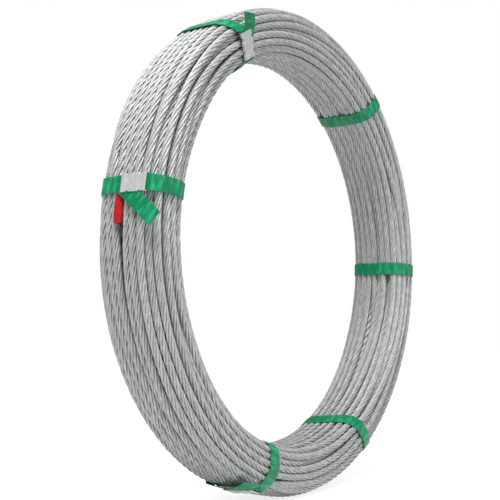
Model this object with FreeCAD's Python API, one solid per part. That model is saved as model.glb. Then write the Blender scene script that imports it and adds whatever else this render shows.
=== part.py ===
import FreeCAD, Part
import math
import os

# Coil of galvanized steel strand, held by six plastic straps with crimped steel seals.
# It stands on its rim, its bore lies along Y, and +Z is up.
# Sizes are in millimetres and angles in degrees, measured from +X towards +Z.

# The coil
OUTSIDE_DIA = 556.0
BORE_DIA = 444.0
COIL_WIDTH = 78.0
CORNER_R = 20.0
STRAND_DIA = 7.94
TURN_GAP = 0.25
GROOVE_DEPTH = 2.8

# The red cap on the strand's outer end, which lies in the outermost layer
CAP_WALL = 0.7
CAP_LENGTH = 30.0
CAP_AXIAL = 4.0
CAP_CLEAR = 0.3
END_CLEAR = 0.05
END_REACH = 0.9
HOLLOW_REACH = 0.91
GROOVE_CLEARS = 6
NECK_CLEARS = 4
MOUTH_SWEEP = 1.0

# The straps
STRAP_WIDTH = 16.0
STRAP_THICK = 0.9
STRAP_CLEAR = 0.25
STRAP_ANGLES = [169.9, 123.0, 52.4, 357.3, 297.4, 250.0]
LAP_PAST_SEAL = 3.0

# The seals
SEAL_LENGTH = 28.0
SEAL_SHEET = 0.8
SEAL_CLEAR = 0.1
LIP_DEPTH = 0.8

# The free strap ends
TAIL_1_LENGTH = 54.0
TAIL_1_ANGLE = 41.0
TAIL_2_LENGTH = 22.0
TAIL_2_LEAN = 36.0
TAIL_2_TUCK = 1.0
TAIL_6_LENGTH = 44.0
TAIL_6_ANGLE = 42.0
TAIL_START = 11.8

MID_R = (OUTSIDE_DIA + BORE_DIA) / 4.0
HALF_BUILD = (OUTSIDE_DIA - BORE_DIA) / 4.0
HALF_WIDTH = COIL_WIDTH / 2.0
STRAND_R = STRAND_DIA / 2.0
CENTRE = FreeCAD.Vector(0, 0, 0)
AXIS = FreeCAD.Vector(0, -1, 0)

os.makedirs("parts", exist_ok=True)


def rounded(half_x, half_y, corner):
    """Closed outline round the coil's section: X is radial and Y is along the bore."""
    fx = half_x - corner
    fy = half_y - corner
    k = corner * math.sqrt(0.5)

    def at(x, y):
        return FreeCAD.Vector(MID_R + x, y, 0)

    edges = [
        Part.makeLine(at(half_x, -fy), at(half_x, fy)),
        Part.Arc(at(half_x, fy), at(fx + k, fy + k), at(fx, half_y)).toShape(),
        Part.makeLine(at(fx, half_y), at(-fx, half_y)),
        Part.Arc(at(-fx, half_y), at(-fx - k, fy + k), at(-half_x, fy)).toShape(),
        Part.makeLine(at(-half_x, fy), at(-half_x, -fy)),
        Part.Arc(at(-half_x, -fy), at(-fx - k, -fy - k), at(-fx, -half_y)).toShape(),
        Part.makeLine(at(-fx, -half_y), at(fx, -half_y)),
        Part.Arc(at(fx, -half_y), at(fx + k, -fy - k), at(half_x, -fy)).toShape(),
    ]
    return Part.Wire(edges)


def walk(distance):
    """Point and outward direction at a distance along the line of the crests."""
    fx = HALF_BUILD - CORNER_R
    fy = HALF_WIDTH - CORNER_R
    bend = CORNER_R * math.pi / 2.0
    legs = [
        ("line", 2 * fy, (HALF_BUILD, -fy), 0.0),
        ("bend", bend, (fx, fy), 0.0),
        ("line", 2 * fx, (fx, HALF_WIDTH), 90.0),
        ("bend", bend, (-fx, fy), 90.0),
        ("line", 2 * fy, (-HALF_BUILD, fy), 180.0),
        ("bend", bend, (-fx, -fy), 180.0),
        ("line", 2 * fx, (-fx, -HALF_WIDTH), 270.0),
        ("bend", bend, (fx, -fy), 270.0),
    ]
    total = sum(leg[1] for leg in legs)
    left = distance % total
    for kind, length, start, turn in legs:
        if left <= length:
            break
        left -= length
    if kind == "line":
        a = math.radians(turn)
        out = FreeCAD.Vector(math.cos(a), math.sin(a), 0)
        along = FreeCAD.Vector(-math.sin(a), math.cos(a), 0)
        point = FreeCAD.Vector(MID_R + start[0], start[1], 0) + along * left
    else:
        a = math.radians(turn + math.degrees(left / CORNER_R))
        out = FreeCAD.Vector(math.cos(a), math.sin(a), 0)
        point = FreeCAD.Vector(MID_R + start[0], start[1], 0) + out * CORNER_R
    return point, out, total


def coil_body():
    """One turned solid: every turn that shows is a round rib on its outline."""
    total = walk(0)[2]
    count = int(total // (STRAND_DIA + TURN_GAP))
    pitch = total / count
    arcs = []
    for i in range(count):
        a, out_a, _ = walk((i - 0.5) * pitch)
        b, _, _ = walk(i * pitch)
        c, out_c, _ = walk((i + 0.5) * pitch)
        start = a - out_a * GROOVE_DEPTH
        end = c - out_c * GROOVE_DEPTH
        arcs.append(Part.Arc(start, b, end).toShape())
    face = Part.Face(Part.Wire(arcs))
    return face.revolve(CENTRE, AXIS, 360)


def turned(face, start, sweep):
    """Turn a face in the XY plane about the bore, from one angle through another."""
    face = face.copy()
    face.rotate(CENTRE, AXIS, start)
    return face.revolve(CENTRE, AXIS, sweep)


def disc(radius, r, y):
    circle = Part.Circle(FreeCAD.Vector(r, y, 0), FreeCAD.Vector(0, 0, 1), radius)
    return Part.Face(Part.Wire(circle.toShape()))


def set_on(shape, lean, slide, lift):
    """Set a part made flat (length along Y, width along Z, out along X) on the coil.

    lean turns it from the outer rim towards the near end face."""
    a = math.radians(lean)
    out = FreeCAD.Vector(math.cos(a), -math.sin(a), 0)
    along = FreeCAD.Vector(math.sin(a), math.cos(a), 0)
    corner = FreeCAD.Vector(MID_R + HALF_BUILD - CORNER_R, -(HALF_WIDTH - CORNER_R), 0)
    shape = shape.copy()
    shape.rotate(CENTRE, FreeCAD.Vector(0, 0, 1), -lean)
    shape.translate(corner + out * (CORNER_R + lift) + along * slide)
    return shape


def block(x0, x1, y0, y1, z0, z1):
    return Part.makeBox(x1 - x0, y1 - y0, z1 - z0, FreeCAD.Vector(x0, y0, z0))


def strap_loop():
    """A strap drawn tight round the coil's section."""
    inner = STRAP_CLEAR
    outer = STRAP_CLEAR + STRAP_THICK
    ring = Part.Face(rounded(HALF_BUILD + outer, HALF_WIDTH + outer, CORNER_R + outer))
    hole = Part.Face(rounded(HALF_BUILD + inner, HALF_WIDTH + inner, CORNER_R + inner))
    face = ring.cut(hole)
    band = face.extrude(FreeCAD.Vector(0, 0, STRAP_WIDTH))
    band.translate(FreeCAD.Vector(0, 0, -STRAP_WIDTH / 2.0))
    return band


LAP_0 = STRAP_CLEAR + STRAP_THICK
LAP_1 = LAP_0 + STRAP_THICK
SEAL_0 = LAP_1 + SEAL_CLEAR
SEAL_1 = SEAL_0 + SEAL_SHEET
LAP_SINK = 0.05


def lap(front, back):
    """The strap's second layer under a seal, flat from one end to the other."""
    half = STRAP_WIDTH / 2.0
    return block(LAP_0 - LAP_SINK, LAP_1, -front, back, -half, half)


def tail(length, angle, start, side):
    """A free end folded over at the seal and laid off at an angle along the coil."""
    half = STRAP_WIDTH / 2.0
    strip = block(LAP_0 - LAP_SINK, LAP_1, -length, 0, -half, half)
    strip.rotate(CENTRE, FreeCAD.Vector(1, 0, 0), -side * angle)
    strip.translate(FreeCAD.Vector(0, start, 0))
    return strip


def seal(low_lip, high_lip):
    """A crimped sheet-steel seal: a plate over the lap with lips down its sides."""
    inside = STRAP_WIDTH / 2.0 + SEAL_CLEAR
    outside = inside + SEAL_SHEET
    half = SEAL_LENGTH / 2.0
    body = block(SEAL_0, SEAL_1, -half, half, -outside, outside)
    if low_lip:
        body = body.fuse(block(SEAL_0 - LIP_DEPTH, SEAL_1, -half, half, inside, outside))
    if high_lip:
        body = body.fuse(block(SEAL_0 - LIP_DEPTH, SEAL_1, -half, half, -outside, -inside))
    return body.removeSplitter()


# Where each seal sits: lean, slide along the strap, and which lips it has.
ON_RIM = HALF_WIDTH - CORNER_R
SEAT_1 = (6.0, 5.0)
SEAT_2 = (90.0, -9.0)
SEAT_HIDDEN = (0.0, ON_RIM)
SEAT_6 = (8.0, 5.0)
LAP_HALF = SEAL_LENGTH / 2.0 + LAP_PAST_SEAL

solids = {}

# The coil, with the groove that its cut end lies in
cap_r = STRAND_R + END_CLEAR + CAP_WALL
end_r = MID_R + HALF_BUILD - cap_r
cap_start = STRAP_ANGLES[0]
cap_sweep = math.degrees(CAP_LENGTH / end_r)
clear_sweep = math.degrees(CAP_CLEAR / end_r)
groove_r = cap_r + CAP_CLEAR
groove = disc(groove_r, end_r, CAP_AXIAL).fuse(
    Part.Face(
        Part.makePolygon(
            [
                FreeCAD.Vector(end_r, CAP_AXIAL - groove_r, 0),
                FreeCAD.Vector(end_r + 2 * cap_r, CAP_AXIAL - groove_r, 0),
                FreeCAD.Vector(end_r + 2 * cap_r, CAP_AXIAL + groove_r, 0),
                FreeCAD.Vector(end_r, CAP_AXIAL + groove_r, 0),
                FreeCAD.Vector(end_r, CAP_AXIAL - groove_r, 0),
            ]
        )
    )
)
groove = groove.removeSplitter().Faces[0]
coil = coil_body().cut(turned(groove, cap_start - clear_sweep, cap_sweep + GROOVE_CLEARS * clear_sweep))
strand_end = turned(
    disc(STRAND_R, end_r, CAP_AXIAL),
    cap_start - NECK_CLEARS * clear_sweep,
    cap_sweep * END_REACH + NECK_CLEARS * clear_sweep,
)
solids["strand_coil"] = coil.fuse(strand_end).removeSplitter()

# The cap: a sleeve over the cut end, closed beyond it
cap = turned(disc(cap_r, end_r, CAP_AXIAL), cap_start, cap_sweep)
hollow = turned(
    disc(STRAND_R + END_CLEAR, end_r, CAP_AXIAL),
    cap_start - MOUTH_SWEEP,
    cap_sweep * HOLLOW_REACH + MOUTH_SWEEP,
)
solids["strand_end_cap"] = cap.cut(hollow)

# The straps, each with the lap under its seal, and the free ends of three of them
hidden_lap = set_on(lap(LAP_HALF, LAP_HALF), SEAT_HIDDEN[0], SEAT_HIDDEN[1], 0)
lap_1 = set_on(lap(LAP_HALF, LAP_HALF), SEAT_1[0], SEAT_1[1], 0)
tail_1 = set_on(tail(TAIL_1_LENGTH, TAIL_1_ANGLE, TAIL_START, 1), SEAT_1[0], SEAT_1[1], 0)
lap_6 = set_on(lap(LAP_HALF, LAP_HALF), SEAT_6[0], SEAT_6[1], 0)
tail_6 = set_on(tail(TAIL_6_LENGTH, TAIL_6_ANGLE, TAIL_START, -1), SEAT_6[0], SEAT_6[1], 0)

half = STRAP_WIDTH / 2.0
free_2 = block(LAP_0 - LAP_SINK, LAP_1, 0, TAIL_2_LENGTH, -half, half)
free_2.rotate(FreeCAD.Vector(LAP_0, 0, 0), FreeCAD.Vector(0, 0, 1), -TAIL_2_LEAN)
free_2.translate(FreeCAD.Vector(0, SEAL_LENGTH / 2.0 + LAP_PAST_SEAL - TAIL_2_TUCK, 0))
lap_2 = set_on(lap(LAP_HALF, LAP_HALF), SEAT_2[0], SEAT_2[1], 0)
tail_2 = set_on(free_2, SEAT_2[0], SEAT_2[1], 0)

extras = [[lap_1, tail_1], [lap_2, tail_2], [hidden_lap], [hidden_lap], [hidden_lap], [lap_6, tail_6]]
seats = [SEAT_1, SEAT_2, SEAT_HIDDEN, SEAT_HIDDEN, SEAT_HIDDEN, SEAT_6]
lips = [(False, True), (True, True), (True, True), (True, True), (True, True), (True, False)]
for i, angle in enumerate(STRAP_ANGLES):
    strap = strap_loop()
    for piece in extras[i]:
        strap = strap.fuse(piece)
    strap = strap.removeSplitter()
    strap.rotate(CENTRE, AXIS, angle)
    solids["strap_%d" % (i + 1)] = strap
    clip = set_on(seal(lips[i][0], lips[i][1]), seats[i][0], seats[i][1], 0)
    clip.rotate(CENTRE, AXIS, angle)
    solids["seal_%d" % (i + 1)] = clip

# The origin is at the middle of the underside of the whole coil.
box = FreeCAD.BoundBox()
for shape in solids.values():
    box.add(shape.optimalBoundingBox(False))
shift = FreeCAD.Vector(-(box.XMin + box.XMax) / 2.0, -(box.YMin + box.YMax) / 2.0, -box.ZMin)

for name, shape in solids.items():
    placed = shape.copy()
    placed.translate(shift)
    if len(placed.Solids) == 1:
        placed = placed.Solids[0]
    placed.exportStep("parts/%s.step" % name)
    print(name, len(shape.Solids), round(placed.Volume, 1), placed.isValid())
print("box", box, "shift", shift)
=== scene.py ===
# %% [markdown]
# A coil of galvanized steel strand is one long length of seven-wire strand, wound round and round
# into a ring and tied with flat plastic straps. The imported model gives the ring's size, its straps
# and its seals. This script keeps that frame, winds the strand turn by turn inside it, and then
# dresses it with the straps, the steel seals and the red cap on the strand's cut end.

# %% Load the frame
import math

import bpy
import numpy as np
from mathutils import Matrix, Vector


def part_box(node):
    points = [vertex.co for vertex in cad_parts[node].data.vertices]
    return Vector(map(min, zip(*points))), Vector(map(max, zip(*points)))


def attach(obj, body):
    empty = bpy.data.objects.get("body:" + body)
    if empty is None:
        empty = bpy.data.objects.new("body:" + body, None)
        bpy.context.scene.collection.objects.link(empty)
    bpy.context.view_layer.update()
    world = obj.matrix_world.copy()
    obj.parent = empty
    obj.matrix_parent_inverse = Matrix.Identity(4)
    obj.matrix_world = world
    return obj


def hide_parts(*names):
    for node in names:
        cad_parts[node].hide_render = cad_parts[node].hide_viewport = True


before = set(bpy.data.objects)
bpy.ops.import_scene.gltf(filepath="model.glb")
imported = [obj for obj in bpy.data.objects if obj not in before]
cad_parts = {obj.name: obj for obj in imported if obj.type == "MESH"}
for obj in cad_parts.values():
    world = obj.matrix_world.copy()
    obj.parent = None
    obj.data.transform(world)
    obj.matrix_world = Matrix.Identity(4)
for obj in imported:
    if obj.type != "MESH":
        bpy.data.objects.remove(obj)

scene = bpy.context.scene
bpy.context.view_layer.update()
bpy.ops.object.select_all(action="DESELECT")

# %% [markdown]
# Every size here follows from a few driving ones. The ring's place comes from the frame: the turned
# solid's box gives the centre of the ring, its outside radius and its width. The strand is a stock
# size, 5/16 in over its six outer wires, and its wires lean round it once in about eight diameters.

# %% Sizes
MM = 0.001
low, high = (np.array(corner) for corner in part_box("strand_coil"))
CENTRE = (low + high) / 2
OUTSIDE_R = (high[0] - low[0]) / 2
HALF_WIDTH = (high[1] - low[1]) / 2
HALF_BUILD = 28 * MM
MID_R = OUTSIDE_R - HALF_BUILD
CORNER_R = 20 * MM
STRAND_D = 7.94 * MM
STRAND_R = STRAND_D / 2
LAY = 66 * MM
STRAP_WIDTH = 16 * MM
STRAP_THICK = 0.9 * MM
STRAP_ANGLES = [169.9, 122.2, 52.3, 357.3, 296.2, 251.2]
SEAM_ANGLE = 358.0
END_ANGLE = 176.9
print("ring centre", CENTRE.round(4), "outside radius", round(OUTSIDE_R, 4))


def radial(angle):
    """Unit vectors at an angle round the ring: straight out from its middle, and onwards."""
    a = math.radians(angle)
    out = np.array([math.cos(a), 0.0, math.sin(a)])
    onward = np.array([-math.sin(a), 0.0, math.cos(a)])
    return out, onward


def at(angle, r, y, onward=0.0):
    """A point of the ring: radius r from its middle, y along its bore, and a step onwards."""
    out, along = radial(angle)
    return CENTRE + out * r + np.array([0.0, y, 0.0]) + along * onward


# %% [markdown]
# The camera stands low, to the left of the coil's open end and a little under its middle, so the
# bore shows as a tall oval. It is made first, because every piece is then judged through it.

# %% Camera
CAMERA_FROM_CENTRE = Vector((-0.8531, -0.5648, -0.0768))
CAMERA_FORWARD = Vector((0.8082, 0.5839, 0.0768))
bpy.ops.object.camera_add(location=Vector(CENTRE) + CAMERA_FROM_CENTRE)
camera = bpy.context.object
camera.name = "camera"
camera.rotation_euler = CAMERA_FORWARD.to_track_quat("-Z", "Y").to_euler()
camera.data.lens = 62.79
camera.data.sensor_width = 36
camera.data.clip_start = 0.01
scene.camera = camera
print("camera at", tuple(round(c, 3) for c in camera.location))

# %% [markdown]
# Colours are written as the eye reads them, in sRGB hex, and turned to the linear values that
# Blender mixes. One helper adds a node, sets it and links it, which keeps each material short.

# %% Colour and node helpers


def colour(code):
    """An sRGB hex colour as linear red, green, blue and alpha."""
    parts = [int(code[i:i + 2], 16) / 255 for i in (1, 3, 5)]
    return [c / 12.92 if c <= 0.04045 else ((c + 0.055) / 1.055) ** 2.4 for c in parts] + [1.0]


def add(tree, kind, settings=None, inputs=None, links=None):
    """A node of a kind, with its settings, its input values and its incoming links."""
    node = tree.nodes.new(kind)
    for key, value in (settings or {}).items():
        setattr(node, key, value)
    for key, value in (inputs or {}).items():
        node.inputs[key].default_value = value
    for key, source in (links or {}).items():
        tree.links.new(source, node.inputs[key])
    return node


def material(name):
    """An empty material and its Principled shader."""
    m = bpy.data.materials.new(name)
    m.use_nodes = True
    return m, m.node_tree, m.node_tree.nodes["Principled BSDF"]


def speckle(tree, place, size, detail):
    """Noise with patches of a size in metres, read from the object's own coordinates."""
    return add(
        tree, "ShaderNodeTexNoise", {},
        {"Scale": 1 / size, "Detail": detail}, {"Vector": place.outputs["Object"]},
    )


# %% [markdown]
# Galvanized wire is drawn steel that has been through molten zinc. New zinc is bright but not a
# mirror: it is a soft metallic grey with duller and brighter patches a few millimetres long, and
# each wire took its zinc a little differently. The strand's own map has the wires side by side
# across it and the length along it, so a patch can stay on one wire.

# %% Zinc on the strand
ZINC_PATCH = 9 * MM
ZINC_GRAIN = 0.6 * MM
WIRES = 6


def zinc_wire():
    """Hot-dip galvanized steel wire, matt and slightly mottled."""
    m, tree, shader = material("hot_dip_zinc_on_wire")
    uv = add(tree, "ShaderNodeUVMap", {"uv_map": "lay"})
    place = add(tree, "ShaderNodeTexCoord")
    stretch = add(
        tree, "ShaderNodeMapping", {},
        {"Scale": (WIRES, 1 / ZINC_PATCH, 1.0)}, {"Vector": uv.outputs[0]},
    )
    patches = add(
        tree, "ShaderNodeTexNoise", {}, {"Scale": 1.0, "Detail": 3.0}, {"Vector": stretch.outputs[0]}
    )
    grain = speckle(tree, place, ZINC_GRAIN, 2.0)
    tone = add(tree, "ShaderNodeValToRGB", {}, {}, {"Fac": patches.outputs[0]})
    tone.color_ramp.elements[0].position = 0.30
    tone.color_ramp.elements[0].color = colour("#A6A9A8")
    tone.color_ramp.elements[1].position = 0.70
    tone.color_ramp.elements[1].color = colour("#D0D2D0")
    dull = add(
        tree, "ShaderNodeMapRange", {}, {"To Min": 0.5, "To Max": 0.66}, {"Value": patches.outputs[0]}
    )
    bump = add(
        tree, "ShaderNodeBump", {}, {"Strength": 0.15, "Distance": 0.1 * MM}, {"Height": grain.outputs[0]}
    )
    tree.links.new(tone.outputs[0], shader.inputs["Base Color"])
    tree.links.new(dull.outputs[0], shader.inputs["Roughness"])
    tree.links.new(bump.outputs[0], shader.inputs["Normal"])
    shader.inputs["Metallic"].default_value = 0.5
    return m


zinc = zinc_wire()
print("made", zinc.name)

# %% [markdown]
# Polyester strapping is a stiff, shiny green tape, rolled with a fine pattern of diamonds so that it
# grips in its seal. The real diamonds are finer than can be shown at this size, so they are drawn
# as coarse as they need to be, 2 mm apart, with painted shade: the green is darker in their hollows
# and paler on their tops. Paler streaks, painted highlights, cross the tape where the light catches it.
# Its map is in metres: across the tape, and along it.

# %% Green strapping
DIAMOND = 2.0 * MM
WAVES_TO_SCALE = 0.314
STREAKS_PER_METRE = (40, 150, 1)


def green_strapping():
    """Embossed polyester strapping, glossy green."""
    m, tree, shader = material("embossed_polyester_strapping")
    uv = add(tree, "ShaderNodeUVMap", {"uv_map": "tape"})
    heights = []
    for turn in (0.7, -0.7):
        lean = add(
            tree, "ShaderNodeMapping", {}, {"Rotation": (0, 0, turn)}, {"Vector": uv.outputs[0]}
        )
        heights.append(add(
            tree, "ShaderNodeTexWave", {"wave_type": "BANDS", "wave_profile": "SIN"},
            {"Scale": WAVES_TO_SCALE / DIAMOND, "Distortion": 0.0}, {"Vector": lean.outputs[0]},
        ))
    both = add(
        tree, "ShaderNodeMath", {"operation": "MULTIPLY"}, {},
        {0: heights[0].outputs["Fac"], 1: heights[1].outputs["Fac"]},
    )
    bump = add(
        tree, "ShaderNodeBump", {}, {"Strength": 0.7, "Distance": 0.3 * MM}, {"Height": both.outputs[0]}
    )
    # Painted shade and light: the green is darker in the diamonds' hollows and paler on their tops.
    tone = add(tree, "ShaderNodeMix", {"data_type": "RGBA"}, {}, {"Factor": both.outputs[0]})
    tone.inputs["A"].default_value = colour("#00774A")
    tone.inputs["B"].default_value = colour("#08975F")
    # Painted highlights: paler streaks across the tape, where the light catches it.
    run = add(
        tree, "ShaderNodeMapping", {}, {"Scale": STREAKS_PER_METRE}, {"Vector": uv.outputs[0]}
    )
    streak = add(
        tree, "ShaderNodeTexNoise", {}, {"Scale": 1.0, "Detail": 2.0}, {"Vector": run.outputs[0]}
    )
    pale = add(
        tree, "ShaderNodeMapRange", {},
        {"From Min": 0.45, "From Max": 0.75, "To Min": 0.0, "To Max": 0.7},
        {"Value": streak.outputs["Fac"]},
    )
    painted_highlight_streaks = add(
        tree, "ShaderNodeMix", {"data_type": "RGBA"}, {},
        {"Factor": pale.outputs[0], "A": tone.outputs["Result"]},
    )
    painted_highlight_streaks.inputs["B"].default_value = colour("#35C993")
    tree.links.new(painted_highlight_streaks.outputs["Result"], shader.inputs["Base Color"])
    shader.inputs["Specular IOR Level"].default_value = 0.25
    tree.links.new(bump.outputs[0], shader.inputs["Normal"])
    shader.inputs["Roughness"].default_value = 0.32
    shader.inputs["IOR"].default_value = 1.57
    return m


strapping = green_strapping()
print("made", strapping.name)

# %% [markdown]
# The seals are bright sheet steel, cut, folded and crimped. The sheet has a faint rolling grain
# and small dents from the crimping jaws, and its grey follows the dents as painted light and shade:
# paler on their tops, darker in their hollows.

# %% Seal steel and red cap
ROLLING_GRAIN = 0.5 * MM
DENT = 6 * MM
VINYL_RIPPLE = 3 * MM


def seal_sheet():
    """Bright zinc-plated sheet steel, rolled and crimped."""
    m, tree, shader = material("bright_sheet_steel")
    place = add(tree, "ShaderNodeTexCoord")
    grain = speckle(tree, place, ROLLING_GRAIN, 2.0)
    dent_relief_and_painted_shade = speckle(tree, place, DENT, 1.0)
    fine = add(
        tree, "ShaderNodeBump", {}, {"Strength": 0.1, "Distance": 0.1 * MM}, {"Height": grain.outputs[0]}
    )
    bump = add(
        tree, "ShaderNodeBump", {}, {"Strength": 0.6, "Distance": 1.0 * MM},
        {"Height": dent_relief_and_painted_shade.outputs[0], "Normal": fine.outputs[0]},
    )
    tree.links.new(bump.outputs[0], shader.inputs["Normal"])
    # Painted light and shade: the steel is paler on the dents' tops and darker in their hollows.
    tone = add(tree, "ShaderNodeMix", {"data_type": "RGBA"}, {}, {"Factor": dent_relief_and_painted_shade.outputs[0]})
    tone.inputs["A"].default_value = colour("#D2D3D4")
    tone.inputs["B"].default_value = colour("#F6F5F4")
    tree.links.new(tone.outputs["Result"], shader.inputs["Base Color"])
    shader.inputs["Metallic"].default_value = 0.55
    shader.inputs["Roughness"].default_value = 0.36
    return m


def red_cap_vinyl():
    """Soft red vinyl, glossy, drawn over the wires so that they show faintly through it."""
    m, tree, shader = material("red_vinyl")
    place = add(tree, "ShaderNodeTexCoord")
    ripple_and_painted_shade = speckle(tree, place, VINYL_RIPPLE, 2.0)
    # Painted light and shade: the red is paler on the ripple's tops and darker in its hollows.
    tone = add(tree, "ShaderNodeMix", {"data_type": "RGBA"}, {}, {"Factor": ripple_and_painted_shade.outputs[0]})
    tone.inputs["A"].default_value = colour("#A30E10")
    tone.inputs["B"].default_value = colour("#C41F1C")
    bump = add(
        tree, "ShaderNodeBump", {}, {"Strength": 0.4, "Distance": 0.4 * MM}, {"Height": ripple_and_painted_shade.outputs[0]}
    )
    tree.links.new(tone.outputs["Result"], shader.inputs["Base Color"])
    tree.links.new(bump.outputs[0], shader.inputs["Normal"])
    shader.inputs["Roughness"].default_value = 0.28
    return m


steel = seal_sheet()
red = red_cap_vinyl()
print("made", steel.name, "and", red.name)

# %% [markdown]
# Where each turn lies is worked out, not drawn. The strand is laid in rows, back and forth, as on a
# winding head, and each turn starts from its place in those rows with a little unevenness of its
# own. Then the turns are let settle: they push apart where they overlap, stay inside the straps,
# and keep a smooth line along the strand, because a strand is too stiff to kink. Between the
# straps they may spread slightly, and that is where the dark gaps open.

# %% Rows of the winding
STATIONS = 36
ROWS = 8
PITCH = 8.0 * MM
PINCH = 0.8 * MM
CUT_END_STEP = np.array([1.5, -7.0]) * MM
rng = np.random.default_rng(11)

inset = STRAND_R + PINCH
hx = HALF_BUILD - inset
hy = HALF_WIDTH - inset
rc = CORNER_R - inset


def row_places(k):
    """The places in row k, counted from the bore outwards."""
    x = -hx + 2 * hx * k / (ROWS - 1)
    past = max(0.0, abs(x) - (hx - rc))
    half = hy - rc + math.sqrt(max(0.0, rc * rc - past * past))
    count = int(2 * half / PITCH) + 1
    return [(x, y) for y in np.linspace(-half, half, count)]


rows = [row_places(k) for k in range(ROWS)]
order = []
for k in range(ROWS - 2):
    order += rows[k] if k % 2 == 0 else rows[k][::-1]
under, top = rows[-2], rows[-1]
mid = len(top) // 2
for k in range(mid + 1):
    order += [under[k], top[k]]
order += under[mid + 1:] + top[:mid:-1]
places = np.array(order)
places[-1] += CUT_END_STEP
TURNS = len(places)
print("turns", TURNS, "in rows of", [len(r) for r in rows])

# %% Settle the turns
SETTLE_STEPS = 700
SHAKE = 4.5 * MM
KNOT_EVERY = 11
angles = np.arange(STATIONS) * 360 / STATIONS
last_station = int(((END_ANGLE - SEAM_ANGLE) % 360) / 360 * STATIONS) + 1


def strap_slack(angle):
    """How far the turns may spread at an angle round from the seam: nothing at a strap."""
    marks = sorted((a - SEAM_ANGLE) % 360 for a in STRAP_ANGLES) + [360.0]
    for a, b in zip(marks, marks[1:]):
        if a <= angle <= b:
            t = (angle - a) / (b - a)
            return PINCH * math.sin(math.pi * t) * min(1.0, (b - a) / 60)
    return 0.0


slack = np.array([strap_slack(a) for a in angles])


def wander(count, step, size):
    """Slow unevenness along the strand: random knots every few stations, joined smoothly."""
    knots = rng.normal(0, size, (count // step + 4, 2))
    t = np.arange(count) / step
    i = t.astype(int)
    f = (t - i)[:, None]
    f = f * f * (3 - 2 * f)
    return knots[i] * (1 - f) + knots[i + 1] * f


def settle():
    """The settled places of all turns: an array of turns x stations x (radial, along the bore)."""
    ramp = (np.arange(STATIONS) / STATIONS)[:, None]
    onward = np.vstack([places[1:], places[-1:]])
    home = places[:, None, :] * (1 - ramp) + onward[:, None, :] * ramp
    shake = wander(TURNS * STATIONS, KNOT_EVERY, SHAKE).reshape(TURNS, STATIONS, 2)
    home = home + shake
    p = home.copy()
    live = np.ones((TURNS, STATIONS), bool)
    live[-1, last_station + 1:] = False
    for step in range(SETTLE_STEPS):
        ease = max(0.0, 1 - step / (0.6 * SETTLE_STEPS))
        p += 0.05 * ease * (home - p)
        line = p.reshape(-1, 2)
        smooth = line.copy()
        smooth[1:-1] = (line[:-2] + line[2:]) / 2
        line += (0.35 * ease + 0.08) * (smooth - line)
        gap = p[:, None] - p[None, :]
        dist = np.sqrt((gap ** 2).sum(-1)) + 1e-9
        both = live[:, None] & live[None, :]
        short = np.where(both, np.maximum(0.0, STRAND_D - dist), 0.0)
        short[np.arange(TURNS), np.arange(TURNS)] = 0.0
        push = (gap / dist[..., None] * short[..., None]).sum(1)
        p += push * (0.5 if step < 100 else 0.42)
        flat_x = hx - rc
        flat_y = hy - rc
        cx = np.clip(p[..., 0], -flat_x, flat_x)
        cy = np.clip(p[..., 1], -flat_y, flat_y)
        core = np.stack([cx, cy], -1)
        away = p - core
        far = np.sqrt((away ** 2).sum(-1)) + 1e-9
        limit = rc + slack[None, :]
        p = np.where((far > limit)[..., None], core + away * (limit / far)[..., None], p)
    left = short.max()
    print("settled, worst overlap %.2f mm" % (left / MM))
    return p


turns = settle()

# %% [markdown]
# The whole strand now goes onto one smooth curve, a NURBS spline through all its turns in order, and
# everything that follows the strand reads its points from that spline. A chord cuts inside a
# circle, so the points stand out by that small amount first. The cut end then rises a little out
# of its groove and to one side.

# %% One spline for the whole strand
CHORD = 1 / math.cos(math.pi / STATIONS)
FINE = 10
END_RISE = 1.4 * MM
END_ASIDE = 1.5 * MM
RISE_OVER = 30 * MM


def strand_line():
    """The strand's centre line, as points read from its spline, with its turns flat in an array."""
    points = []
    for i in range(TURNS):
        for k, angle in enumerate(angles):
            if i == TURNS - 1 and k > last_station:
                break
            r, y = turns[i, k]
            points.append(at(SEAM_ANGLE + angle, (MID_R + r) * CHORD, y))
    curve = bpy.data.curves.new("strand_route", "CURVE")
    curve.dimensions = "3D"
    spline = curve.splines.new("NURBS")
    spline.points.add(len(points) - 1)
    for target, source in zip(spline.points, points):
        target.co = (*source, 1.0)
    spline.order_u = 3
    spline.use_endpoint_u = True
    spline.resolution_u = FINE
    holder = bpy.data.objects.new("strand_route", curve)
    read = bpy.data.meshes.new_from_object(holder)
    line = np.array([v.co for v in read.vertices])
    bpy.data.objects.remove(holder)
    bpy.data.meshes.remove(read)
    return line


line = strand_line()
backwards = np.linalg.norm(np.diff(line[::-1], axis=0), axis=1)
to_end = np.concatenate([[0], np.cumsum(backwards)])[::-1]
rise = np.clip(1.5 - to_end / RISE_OVER, 0, 1)[:, None]
outward, _ = radial(END_ANGLE)
line = line + rise * (outward * END_RISE + np.array([0, END_ASIDE, 0]))
local = line - CENTRE
line_r = np.hypot(local[:, 0], local[:, 2])
line_y = local[:, 1]
line_angle = np.degrees(np.unwrap(np.arctan2(local[:, 2], local[:, 0])))
line_angle += SEAM_ANGLE - line_angle[0]
line_length = np.concatenate([[0], np.cumsum(np.linalg.norm(np.diff(line, axis=0), axis=1))])
print("strand points", len(line), "length %.1f m" % line_length[-1])

# %% [markdown]
# Six wires are laid round a seventh, so the strand's section is six round lobes, and it turns once
# in every lay. Turns that show get the full section. Turns deep in the coil only stop the light
# between the others, so they get a plainer one.

# %% Section of the strand
WIRE_R = STRAND_D / 6


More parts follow.
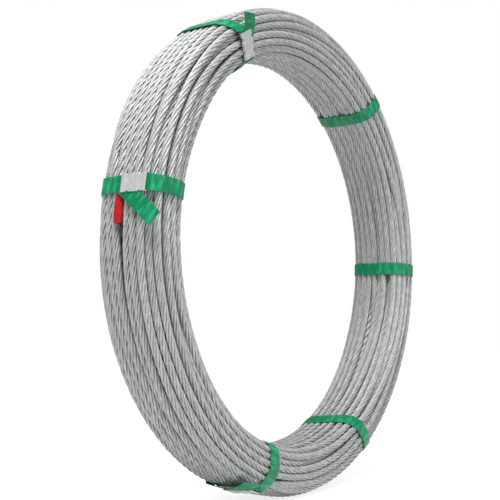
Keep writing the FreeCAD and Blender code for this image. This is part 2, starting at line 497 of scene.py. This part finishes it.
def lobes(steps):
    """The strand's outline as (angle, radius), with a few points on each outer wire."""
    centre = 2 * WIRE_R
    points = []
    for wire in range(6):
        for a in steps:
            t = math.radians(a)
            reach = math.sqrt(max(0.0, WIRE_R ** 2 - (centre * math.sin(t)) ** 2))
            points.append((math.radians(60 * wire + a), centre * math.cos(t) + reach))
    return np.array(points)


FULL_SECTION = lobes((-30, -22, -8, 8, 22))
PLAIN_SECTION = lobes((-30, 0))
print("section points", len(FULL_SECTION), "and", len(PLAIN_SECTION))


def tube(first, last, step, section, swell=None, turning=True):
    """Vertices, faces and map of a tube along the strand's line, closed at both ends."""
    picks = list(range(first, last, step)) + [last]
    m = len(section)
    centres = line[picks]
    a = np.radians(line_angle[picks])[:, None]
    twist = 2 * math.pi * line_length[picks][:, None] / LAY if turning else 0.0
    spin = section[None, :, 0] + twist
    size = section[None, :, 1] * (1.0 if swell is None else np.asarray(swell)[:, None])
    reach = size * np.cos(spin)
    verts = np.empty((len(picks), m, 3))
    verts[..., 0] = centres[:, None, 0] + reach * np.cos(a)
    verts[..., 1] = centres[:, None, 1] + size * np.sin(spin)
    verts[..., 2] = centres[:, None, 2] + reach * np.sin(a)
    i = np.arange(len(picks) - 1)[:, None] * m
    j = np.arange(m)[None, :]
    k = (j + 1) % m
    faces = np.stack([i + j, i + k, i + m + k, i + m + j], -1).reshape(-1, 4)
    v0 = np.broadcast_to(line_length[picks][:-1, None], (len(picks) - 1, m))
    v1 = np.broadcast_to(line_length[picks][1:, None], (len(picks) - 1, m))
    u0 = np.broadcast_to(j / m, v0.shape)
    u1 = np.broadcast_to((j + 1) / m, v0.shape)
    uv = np.stack([u0, v0, u1, v0, u1, v1, u0, v1], -1).reshape(-1, 2)
    ends = [list(range(m - 1, -1, -1)), list(range((len(picks) - 1) * m, len(picks) * m))]
    return verts.reshape(-1, 3), faces.tolist() + ends, np.vstack([uv, np.zeros((2 * m, 2))])


def piece_from(name, tubes, map_name, finish, smooth=80):
    """One object from several tubes."""
    verts, faces, uvs, count = [], [], [], 0
    for v, f, uv in tubes:
        verts.append(v)
        faces += [[q + count for q in face] for face in f]
        uvs.append(uv)
        count += len(v)
    mesh = bpy.data.meshes.new(name)
    mesh.from_pydata(np.vstack(verts).tolist(), [], faces)
    layer = mesh.uv_layers.new(name=map_name)
    layer.data.foreach_set("uv", np.vstack(uvs).astype(np.float32).ravel())
    obj = bpy.data.objects.new(name, mesh)
    scene.collection.objects.link(obj)
    mesh.materials.append(finish)
    bpy.ops.object.select_all(action="DESELECT")
    obj.select_set(True)
    bpy.context.view_layer.objects.active = obj
    bpy.ops.object.shade_smooth_by_angle(angle=math.radians(smooth))
    return obj


# %% Wind the strand
NEAR_SURFACE = 4.5 * MM
UNDER_CUT_END = 10 * MM
PIECE_TRIANGLES = 185000
FULL_COST = 60
PLAIN_COST = 12
flat = np.array([hx - rc, hy - rc])
core = np.clip(turns, -flat, flat)
depth = rc + slack[None, :] - np.sqrt(((turns - core) ** 2).sum(-1))
beyond = turns[:, last_station + 1:]
below_end = np.sqrt(((beyond - beyond[-1:]) ** 2).sum(-1)).min(1)
shows = (depth.min(1) < NEAR_SURFACE) | (below_end < UNDER_CUT_END)
groups, batch, weight = [], [], 0
for i in range(TURNS):
    first = int(np.searchsorted(line_angle, SEAM_ANGLE + 360 * i))
    last = min(int(np.searchsorted(line_angle, SEAM_ANGLE + 360 * (i + 1))), len(line) - 1)
    cost = (last - first) * (FULL_COST if shows[i] else PLAIN_COST)
    if weight + cost > PIECE_TRIANGLES:
        groups.append(batch)
        batch, weight = [], 0
    section, step = (FULL_SECTION, 1) if shows[i] else (PLAIN_SECTION, 2)
    batch.append(tube(first, last, step, section))
    weight += cost
groups.append(batch)
strand = []
for n, batch in enumerate(groups):
    obj = piece_from("strand_turns_%d" % (n + 1), batch, "lay", zinc)
    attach(obj, "root")
    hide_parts("strand_coil")
    strand.append(obj)
print("turns that show", int(shows.sum()), "pieces", len(strand),
      "triangles", sum(len(p.loop_triangles) or len(p.polygons) * 2 for p in (o.data for o in strand)))

# %% [markdown]
# A strap is pulled tight, so it takes the shortest way round: straight across from one strand to the
# next, and curved only where it turns over a strand. That is the hull of the strands under it. The
# stiff seal keeps it straight for the seal's length as well.

# %% Strap outlines
SEAL_LENGTH = 28 * MM
SEAL_SHEET = 0.7 * MM
LAP_PAST = 3 * MM
STRAP_LIFT = 0.1 * MM


def section_at(angle):
    """Where every turn passes under a strap, as (radial, along the bore) from the section's middle."""
    spread = math.degrees(STRAP_WIDTH / 2 / MID_R)
    points = []
    for shift in (-spread, 0.0, spread):
        wanted = SEAM_ANGLE + (angle + shift - SEAM_ANGLE) % 360 + 360 * np.arange(TURNS)
        wanted = wanted[wanted <= line_angle[-1]]
        r = np.interp(wanted, line_angle, line_r)
        y = np.interp(wanted, line_angle, line_y)
        points.append(np.stack([r - MID_R, y], -1))
    return np.vstack(points)


def hull(points):
    """Convex outline of points, anticlockwise."""
    points = sorted(map(tuple, points))
    halves = []
    for run in (points, points[::-1]):
        chain = []
        for p in run:
            while len(chain) > 1:
                (ax, ay), (bx, by) = chain[-2], chain[-1]
                if (bx - ax) * (p[1] - ay) - (by - ay) * (p[0] - ax) > 0:
                    break
                chain.pop()
            chain.append(p)
        halves.append(chain[:-1])
    return np.array(halves[0] + halves[1])


def rim(points, radius):
    """Points all round circles of a radius at each of some points."""
    t = np.linspace(0, 2 * math.pi, 32, endpoint=False)
    ring = np.stack([np.cos(t), np.sin(t)], -1) * radius
    return (points[:, None] + ring[None]).reshape(-1, 2)


class Seat:
    """Where a seal lies on a strap: its outward and lengthwise directions, height and middle."""

    def __init__(self, angle, lean, middle, skew=(0.0, 0.0, 0.0)):
        self.angle = angle
        self.skew = skew
        a = math.radians(lean)
        self.out = np.array([math.cos(a), -math.sin(a)])
        self.along = np.array([math.sin(a), math.cos(a)])
        self.points = section_at(angle)
        self.height = (rim(self.points, STRAND_R) @ self.out).max() + SEAL_SHEET + STRAP_LIFT
        self.middle = middle

    def flat(self, length, up=0.0):
        """A place in the section plane: a distance along the seal from its middle, and up."""
        return self.out * (self.height + up) + self.along * (self.middle + length)

    def place(self, length, width, up):
        """The same, as a point of the ring, with a step across the strap."""
        r, y = self.flat(length, up)
        return self.across(r, y, width)

    def across(self, r, y, width):
        """A point of the strap's plane, which may lie askew to the radius, the bore or the rim."""
        by_radius, by_bore, at_rim = self.skew
        askew = by_radius * r + by_bore * y + at_rim * max(0.0, r / HALF_BUILD) ** 2
        return at(self.angle, MID_R + r, y, width + askew)

    def outline(self):
        """The strap's inner face, closed, in steps of about 1.5 mm."""
        half = SEAL_LENGTH / 2
        held = np.array([self.flat(-half), self.flat(half)])
        loop = hull(np.vstack([rim(self.points, STRAND_R + STRAP_LIFT), held]))
        loop = np.vstack([loop, loop[:1]])
        run = np.concatenate([[0], np.cumsum(np.linalg.norm(np.diff(loop, axis=0), axis=1))])
        steps = np.linspace(0, run[-1], int(run[-1] / (1.5 * MM)))
        return np.stack([np.interp(steps, run, loop[:, 0]), np.interp(steps, run, loop[:, 1])], -1), run[-1]


SEATS = [
    Seat(STRAP_ANGLES[0], 6.0, -14 * MM, (0.10, 0.0, 0.0)),
    Seat(STRAP_ANGLES[1], 97.0, 0.5 * MM, (-0.14, 0.0, 19 * MM)),
    Seat(STRAP_ANGLES[2], 0.0, 0.0, (-0.23, 0.0, 0.0)),
    Seat(STRAP_ANGLES[3], 0.0, 0.0),
    Seat(STRAP_ANGLES[4], 0.0, 0.0, (0.28, -0.2, 0.0)),
    Seat(STRAP_ANGLES[5], 8.0, -17 * MM, (0.0, 0.0, -22 * MM)),
]
print("strap girths", [round(s.outline()[1] / MM) for s in SEATS])

# %% [markdown]
# A length of tape starts as a flat grid, whose map is set to real metres. Each row of the grid is
# then put in its place along the route, and the sheet is given its thickness and a small round on
# its edges.

# %% Tape helper


def tape(name, rows, length, closed=False):
    """A tape through rows of points, each row running across the tape."""
    n, m = len(rows), len(rows[0])
    bpy.ops.object.select_all(action="DESELECT")
    bpy.ops.mesh.primitive_grid_add(x_subdivisions=m - 1, y_subdivisions=n - 1, size=1, calc_uvs=True)
    obj = bpy.context.object
    obj.name = name
    mesh = obj.data
    layer = mesh.uv_layers.active
    layer.name = "tape"
    for v in mesh.vertices:
        i = round((v.co.y + 0.5) * (n - 1))
        j = round((v.co.x + 0.5) * (m - 1))
        v.co = rows[i][j]
    for loop in layer.data:
        loop.uv = (loop.uv[0] * STRAP_WIDTH, loop.uv[1] * length)
    obj.location = (0, 0, 0)
    if closed:
        bpy.ops.object.mode_set(mode="EDIT")
        bpy.ops.mesh.select_all(action="SELECT")
        bpy.ops.mesh.remove_doubles(threshold=1e-6)
        bpy.ops.mesh.normals_make_consistent(inside=False)
        bpy.ops.object.mode_set(mode="OBJECT")
    return obj


def thicken(obj, thick, round_off, offset=1.0):
    """Give a sheet its thickness, on its outer side, and a small round on its edges."""
    bpy.context.view_layer.objects.active = obj
    wall = obj.modifiers.new("thickness", "SOLIDIFY")
    wall.thickness = thick
    wall.offset = offset
    edge = obj.modifiers.new("rounded edges", "BEVEL")
    edge.width = round_off
    edge.segments = 2
    edge.angle_limit = math.radians(50)
    for modifier in ("thickness", "rounded edges"):
        bpy.ops.object.modifier_apply(modifier=modifier)
    bpy.ops.object.shade_smooth_by_angle(angle=math.radians(40))


def join(objects):
    """Several objects as one."""
    bpy.ops.object.select_all(action="DESELECT")
    for obj in objects:
        obj.select_set(True)
    bpy.context.view_layer.objects.active = objects[0]
    bpy.ops.object.join()
    return objects[0]


ACROSS = np.linspace(-0.5, 0.5, 5) * STRAP_WIDTH


def band(seat, number):
    """The strap itself, closed round the coil."""
    outline, girth = seat.outline()
    rows = [[seat.across(r, y, w) for w in ACROSS] for r, y in outline]
    obj = tape("strap_%d_tape" % number, rows, girth, closed=True)
    thicken(obj, STRAP_THICK, 0.15 * MM)
    return obj


def lap(seat, number):
    """The second layer under the seal."""
    ends = np.linspace(-SEAL_LENGTH / 2 - LAP_PAST, SEAL_LENGTH / 2 + LAP_PAST, 12)
    rows = [[seat.place(e, w, STRAP_THICK + 0.05 * MM) for w in ACROSS] for e in ends]
    obj = tape("strap_%d_lap" % number, rows, ends[-1] - ends[0])
    thicken(obj, STRAP_THICK, 0.15 * MM)
    return obj


def free_end(seat, number, route, turn, twist=0.0):
    """A loose end: route gives (length, width, height) of its middle line, turn its direction."""
    a = math.radians(turn)
    run = np.concatenate([[0], np.cumsum(np.linalg.norm(np.diff(route, axis=0), axis=1))])
    rows = []
    for (l, d, h), tip in zip(route, math.radians(twist) * np.linspace(0, 1, len(route))):
        across = np.array([math.sin(a) * math.cos(tip), math.cos(a) * math.cos(tip), math.sin(tip)])
        rows.append([seat.place(*(np.array([l, d, h]) + w * across)) for w in ACROSS])
    obj = tape("strap_%d_end" % number, rows, run[-1])
    thicken(obj, STRAP_THICK, 0.15 * MM)
    return obj


def diagonal(start, turn, length, side, heights):
    """Middle line of an end folded off to one side at an angle, with its heights along the way."""
    a = math.radians(turn)
    t = np.linspace(0, 1, 14)
    l = start - t * length * math.cos(a)
    d = side * t * length * math.sin(a)
    h = np.interp(t, np.linspace(0, 1, len(heights)), heights)
    return np.stack([l, d, h], -1)


def upright(start, aside, length, lean, drift):
    """Middle line of an end that runs on from its seal, drifts aside and springs outwards."""
    t = np.linspace(0, 1, 12)
    rise = math.tan(math.radians(lean)) * length
    return np.stack([start + t * length, aside + drift * t, STRAP_THICK + rise * t ** 1.6], -1)


# %% The six straps
straps = []
for number, seat in enumerate(SEATS, 1):
    parts = [band(seat, number), lap(seat, number)]
    if number == 1:
        route = diagonal(16 * MM, 39, 57 * MM, 1, np.array([0.3, 0.3, 0.4, 0.6]) * MM)
        parts.append(free_end(seat, number, route, 39))
    if number == 2:
        route = upright(5 * MM, -4 * MM, 26 * MM, 13, -15 * MM)
        parts.append(free_end(seat, number, route, 31, twist=8))
    if number == 6:
        route = diagonal(15 * MM, 36, 47 * MM, -1, np.array([0.9, 1.4, 1.0, -3.0]) * MM)
        parts.append(free_end(seat, number, route, -36))
    strap = join(parts)
    strap.name = "green_strap_%d" % number
    strap.data.materials.clear()
    strap.data.materials.append(strapping)
    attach(strap, "root")
    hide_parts("strap_%d" % number)
    straps.append(strap)
    print(strap.name, "faces", len(strap.data.polygons))

# %% [markdown]
# A seal is a short flat sleeve of sheet steel, slid over both layers of the strap and crimped: the
# jaws bite small notches into its two long edges. One block is shaped into the sleeve, and each
# seal is a copy of it, set in its seat.

# %% Seal
SEAL_HIGH = 2 * STRAP_THICK + 2 * SEAL_SHEET + 0.2 * MM
SEAL_WIDE = STRAP_WIDTH + 2 * SEAL_SHEET + 0.3 * MM


def pick(obj, test):
    """Select the vertices of an object that pass a test on their place."""
    bpy.ops.object.mode_set(mode="OBJECT")
    for f in obj.data.polygons:
        f.select = False
    for e in obj.data.edges:
        e.select = False
    for v in obj.data.vertices:
        v.select = bool(test(v.co))
    bpy.ops.object.mode_set(mode="EDIT")
    bpy.ops.mesh.select_mode(type="VERT")


def seal_block():
    """The crimped sleeve, lying flat: length along X, width along Y, outer face up."""
    bpy.ops.object.select_all(action="DESELECT")
    bpy.ops.mesh.primitive_cube_add(size=1)
    obj = bpy.context.object
    obj.data.transform(Matrix.Diagonal((SEAL_LENGTH, SEAL_WIDE, SEAL_HIGH, 1)))
    bpy.ops.object.mode_set(mode="EDIT")
    bpy.ops.mesh.select_all(action="DESELECT")
    for x in np.linspace(-0.5, 0.5, 13)[1:-1] * SEAL_LENGTH:
        bpy.ops.mesh.select_all(action="SELECT")
        bpy.ops.mesh.bisect(plane_co=(x, 0, 0), plane_no=(1, 0, 0))
    for y in np.array([-0.42, 0.0, 0.42]) * SEAL_WIDE:
        bpy.ops.mesh.select_all(action="SELECT")
        bpy.ops.mesh.bisect(plane_co=(0, y, 0), plane_no=(0, 1, 0))
    for x in np.array([-0.25, 0.25]) * SEAL_LENGTH:
        for side in (-1, 1):
            pick(obj, lambda c: abs(c.x - x) < 0.4 * MM and side * c.y > 0.47 * SEAL_WIDE)
            bpy.ops.transform.translate(value=(0, -side * 1.3 * MM, 0))
            pick(obj, lambda c: abs(c.x - x) < 0.4 * MM and side * c.y > 0.40 * SEAL_WIDE and c.z > 0)
            bpy.ops.transform.translate(value=(0, 0, -0.8 * MM))
    pick(obj, lambda c: abs(c.x) > 0.499 * SEAL_LENGTH)
    bpy.ops.mesh.select_mode(type="FACE")
    bpy.ops.object.mode_set(mode="OBJECT")
    for f in obj.data.polygons:
        f.select = abs(f.normal.x) > 0.9
    bpy.ops.object.mode_set(mode="EDIT")
    bpy.ops.mesh.delete(type="FACE")
    bpy.ops.object.mode_set(mode="OBJECT")
    thicken(obj, SEAL_SHEET, 0.25 * MM, offset=-1.0)
    return obj


pattern = seal_block()
seals = []
for number, seat in enumerate(SEATS, 1):
    obj = pattern.copy()
    obj.data = pattern.data.copy()
    obj.name = "steel_seal_%d" % number
    scene.collection.objects.link(obj)
    x_dir, y_dir, z_dir = [seat.place(*step) - seat.place(0, 0, 0) for step in np.eye(3) * MM]
    hand = 1.0 if np.dot(np.cross(x_dir, y_dir), z_dir) > 0 else -1.0
    for v in obj.data.vertices:
        v.co = seat.place(v.co.x, v.co.y * hand, v.co.z + SEAL_HIGH / 2 - SEAL_SHEET)
    obj.data.materials.clear()
    obj.data.materials.append(steel)
    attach(obj, "root")
    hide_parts("seal_%d" % number)
    seals.append(obj)
bpy.data.objects.remove(pattern)
print("seals", len(seals))

# %% [markdown]
# The strand's cut end wears a red cap, so its wires can't fray or scratch. It is a thin sleeve that
# follows the strand for 29 mm and closes over its end.

# %% Red cap
CAP_LENGTH = 29 * MM
CAP_OVER_STRAND = 1.2 * MM
first = int(np.searchsorted(line_length, line_length[-1] - CAP_LENGTH))
count = len(line) - first
reach = np.linspace(0, 1, count)
swell = 1.0 + 0.03 * np.sin(reach * 40)
swell[-1] = 0.86
t = np.radians(np.arange(0, 360, 15))
round_section = np.stack([t, np.full(len(t), STRAND_R + CAP_OVER_STRAND)], -1)
sleeve = tube(first, len(line) - 1, 1, round_section, swell, False)
cap = piece_from("red_end_cap", [sleeve], "lay", red, 50)
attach(cap, "root")
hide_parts("strand_end_cap")
print("cap faces", len(cap.data.polygons))

# %% [markdown]
# The light is a plain soft studio: a large lamp high up on the left, a weaker one low in front, and
# an even pale world. The floor and the world are white to the camera. The zinc reflects both at
# about a third of that, and the floor keeps the coil's shadow.

# %% Floor and light


def either(tree, path, other):
    """One for a camera ray or for another kind of ray, and nought for the rest."""
    return add(
        tree, "ShaderNodeMath", {"operation": "MAXIMUM"}, {},
        {0: path.outputs["Is Camera Ray"], 1: path.outputs[other]},
    )


bpy.ops.object.select_all(action="DESELECT")
bpy.ops.mesh.primitive_plane_add(size=12, location=(0, 0, 0))
floor = bpy.context.object
floor.name = "studio_floor"
paint, tree, shader = material("white_studio_floor")
shader.inputs["Base Color"].default_value = colour("#DCDCDC")
shader.inputs["Roughness"].default_value = 0.9
path = add(tree, "ShaderNodeLightPath")
seen = either(tree, path, "Is Glossy Ray")
strength = add(
    tree, "ShaderNodeMapRange", {},
    {"To Min": 0.35, "To Max": 0.75}, {"Value": path.outputs["Is Camera Ray"]},
)
glow = add(
    tree, "ShaderNodeEmission", {}, {"Color": (1, 1, 1, 1)}, {"Strength": strength.outputs[0]}
)
nothing = add(tree, "ShaderNodeEmission", {}, {"Strength": 0.0})
choice = add(
    tree, "ShaderNodeMixShader", {}, {},
    {"Fac": seen.outputs[0], 1: nothing.outputs[0], 2: glow.outputs[0]},
)
total = add(tree, "ShaderNodeAddShader", {}, {}, {0: shader.outputs[0], 1: choice.outputs[0]})
tree.links.new(total.outputs[0], tree.nodes["Material Output"].inputs["Surface"])
floor.data.materials.append(paint)

world = bpy.data.worlds.new("studio")
scene.world = world
world.use_nodes = True
tree = world.node_tree
path = add(tree, "ShaderNodeLightPath")
seen = either(tree, path, "Is Transmission Ray")
level = add(tree, "ShaderNodeMapRange", {}, {"To Min": 0.32, "To Max": 1.0}, {"Value": seen.outputs[0]})
back = tree.nodes["Background"]
back.inputs["Color"].default_value = (1, 1, 1, 1)
tree.links.new(level.outputs[0], back.inputs["Strength"])


def lamp(name, place, power, size):
    """A large soft lamp aimed at the coil."""
    bpy.ops.object.light_add(type="AREA", location=Vector(CENTRE) + Vector(place))
    light = bpy.context.object
    light.name = name
    light.data.energy = power
    light.data.size = size
    light.rotation_euler = (-Vector(place)).to_track_quat("-Z", "Y").to_euler()


lamp("key_lamp", (-1.1, -0.6, 2.2), 76, 1.3)
lamp("side_lamp", (0.3, -2.3, 0.3), 9, 1.2)
scene.view_settings.view_transform = "Standard"
